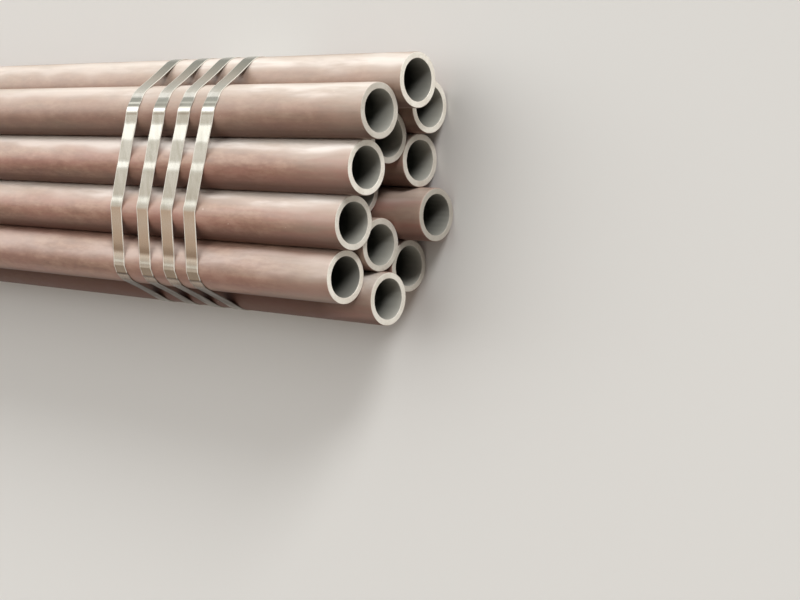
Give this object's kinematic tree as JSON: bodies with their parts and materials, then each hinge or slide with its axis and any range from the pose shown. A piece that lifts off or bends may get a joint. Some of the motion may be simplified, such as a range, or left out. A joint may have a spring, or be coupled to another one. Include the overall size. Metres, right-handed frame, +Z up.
{
  "type": "strapped bundle of steel pipes",
  "caption": "Long thick-walled steel pipes, close-packed in a flat hexagon and held by groups of flat steel straps with pressed seals.",
  "frame": {"origin": "on the floor under the middle of the bundle's bounding box", "axes": "+X along the pipes towards the staggered ends that the picture shows, +Y across towards the foremost middle-row pipe (up in the picture), +Z up off the floor (towards the camera in the picture)"},
  "size_m": [6.13, 0.4482, 0.246],
  "materials": {
    "pipe_wall": "hot-finished steel with a thin dusty rose-brown oxide coat, saw-cut bright ends",
    "strap_steel": "bright zinc-coated strip",
    "seal_steel": "pressed zinc-coated sheet"
  },
  "bodies": {
    "root": {"pipe_top_1": "pipe_wall", "pipe_top_2": "pipe_wall", "pipe_top_3": "pipe_wall", "pipe_top_4": "pipe_wall", "pipe_middle_1": "pipe_wall", "pipe_middle_2": "pipe_wall", "pipe_middle_3": "pipe_wall", "pipe_middle_4": "pipe_wall", "pipe_middle_5": "pipe_wall", "pipe_bottom_1": "pipe_wall", "pipe_bottom_2": "pipe_wall", "pipe_bottom_3": "pipe_wall", "pipe_bottom_4": "pipe_wall", "strap_near_1": "strap_steel", "seal_near_1": "seal_steel", "strap_near_2": "strap_steel", "seal_near_2": "seal_steel", "strap_near_3": "strap_steel", "seal_near_3": "seal_steel", "strap_near_4": "strap_steel", "seal_near_4": "seal_steel", "strap_middle_1": "strap_steel", "seal_middle_1": "seal_steel", "strap_middle_2": "strap_steel", "seal_middle_2": "seal_steel", "strap_middle_3": "strap_steel", "seal_middle_3": "seal_steel", "strap_middle_4": "strap_steel", "seal_middle_4": "seal_steel", "strap_far_1": "strap_steel", "seal_far_1": "seal_steel", "strap_far_2": "strap_steel", "seal_far_2": "seal_steel", "strap_far_3": "strap_steel", "seal_far_3": "seal_steel", "strap_far_4": "strap_steel", "seal_far_4": "seal_steel"}
  },
  "joints": []
}
